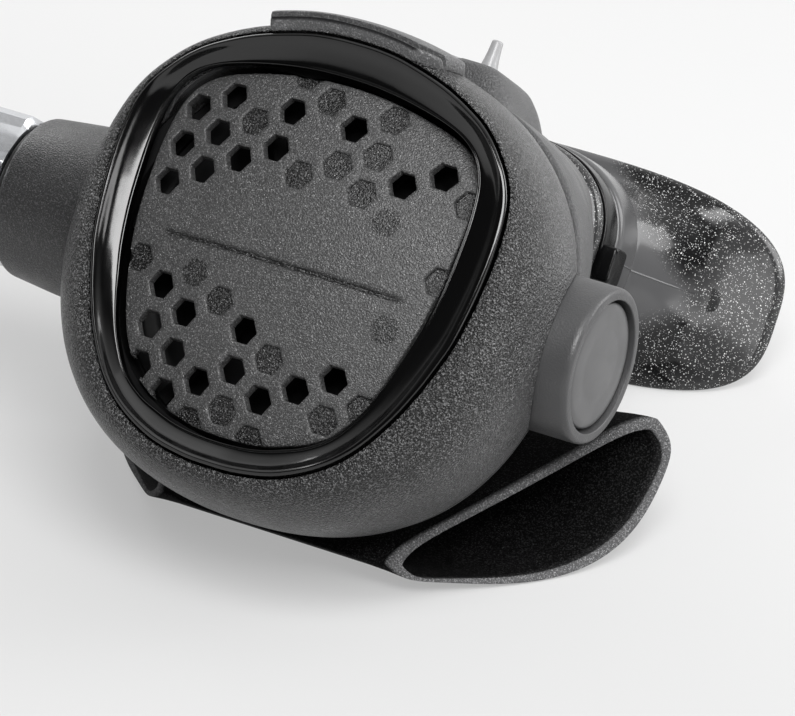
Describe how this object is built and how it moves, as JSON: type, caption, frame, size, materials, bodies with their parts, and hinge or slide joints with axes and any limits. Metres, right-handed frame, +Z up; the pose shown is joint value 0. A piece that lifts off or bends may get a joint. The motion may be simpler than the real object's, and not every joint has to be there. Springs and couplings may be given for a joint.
{
  "type": "scuba regulator second stage",
  "caption": "Second stage of a scuba regulator: vented purge cover in a ring, demand valve, side cap, venturi lever, exhaust tee and bite mouthpiece.",
  "frame": {"origin": "on the surface it rests on, under the middle of its bounding box", "axes": "+X along the valve barrel from the hose inlet to the side cap, +Y back to the mouthpiece, +Z up; the casing leans back until tee and mouthpiece flange both touch the surface"},
  "size_m": [0.113, 0.113, 0.0743],
  "materials": {
    "case_plastic": "smooth satin grey",
    "ring_plastic": "dark, fine grain",
    "bezel_gloss": "piano gloss black",
    "cover_plastic": "mid grey with fine sparkle",
    "clip_gloss": "dark grey, glossy lip",
    "inner_plastic": "plain black",
    "spring_steel": "drawn wire",
    "diaphragm_silicone": "matt",
    "lever_steel": "stamped",
    "sleeve_plastic": "satin, fine grain",
    "barrel_brass": "nickel plated",
    "seal_rubber": "matt",
    "inlet_chrome": "polished",
    "cap_plastic": "smooth satin grey",
    "disc_plastic": "smooth satin grey",
    "tee_rubber": "matt grain",
    "mouthpiece_silicone": "dark translucent silicone with glitter",
    "strap_plastic": "black"
  },
  "bodies": {
    "second_stage": {"rear_case": "case_plastic", "front_ring": "ring_plastic", "gloss_bezel": "bezel_gloss", "top_clip": "clip_gloss", "inner_cover": "inner_plastic", "purge_spring": "spring_steel", "diaphragm": "diaphragm_silicone", "barrel_sleeve": "sleeve_plastic", "valve_barrel": "barrel_brass", "orifice_tube": "barrel_brass", "poppet_spring": "spring_steel", "o_rings": "seal_rubber", "inlet_fitting": "inlet_chrome", "side_cap": "cap_plastic", "side_cap_disc": "disc_plastic", "exhaust_seat": "inner_plastic", "exhaust_valve": "diaphragm_silicone", "exhaust_tee": "tee_rubber", "mouthpiece": "mouthpiece_silicone", "tie_wrap": "strap_plastic"},
    "purge": {"purge_cover": "cover_plastic"},
    "diaphragm_centre": {"diaphragm_disc": "lever_steel"},
    "demand": {"demand_lever": "lever_steel"},
    "valve": {"poppet": "inner_plastic", "poppet_seat": "seal_rubber", "poppet_nut": "lever_steel"},
    "venturi": {"venturi_lever": "inner_plastic"}
  },
  "joints": [
    {"name": "purge_press", "type": "slide", "parent": "second_stage", "child": "purge", "axis": [0, 0.7995, -0.6007], "range_m": [0, 0.0016], "deforming": ["purge_spring"]},
    {"name": "diaphragm_move", "type": "slide", "parent": "second_stage", "child": "diaphragm_centre", "axis": [0, 0.7995, -0.6007], "range_m": [0, 0.0016], "deforming": ["diaphragm"]},
    {"name": "demand_pivot", "type": "hinge", "parent": "second_stage", "child": "demand", "pos_m": [0.03439, -0.01985, 0.0343], "axis": [0, -0.6007, -0.7995], "range_deg": [0, 4.7]},
    {"name": "poppet_slide", "type": "slide", "parent": "second_stage", "child": "valve", "axis": [1, 0, 0], "range_m": [0, 0.0008], "deforming": ["poppet_spring"]},
    {"name": "venturi_turn", "type": "hinge", "parent": "second_stage", "child": "venturi", "pos_m": [0.01439, 0.00834, 0.05765], "axis": [0, 0.6007, 0.7995], "range_deg": [0, 75]}
  ],
  "couplings": [
    {"joint": "diaphragm_move", "follows": "purge_press", "ratio": 1},
    {"joint": "demand_pivot", "follows": "purge_press", "rad_per_m": 51.282},
    {"joint": "poppet_slide", "follows": "purge_press", "ratio": 0.5}
  ]
}
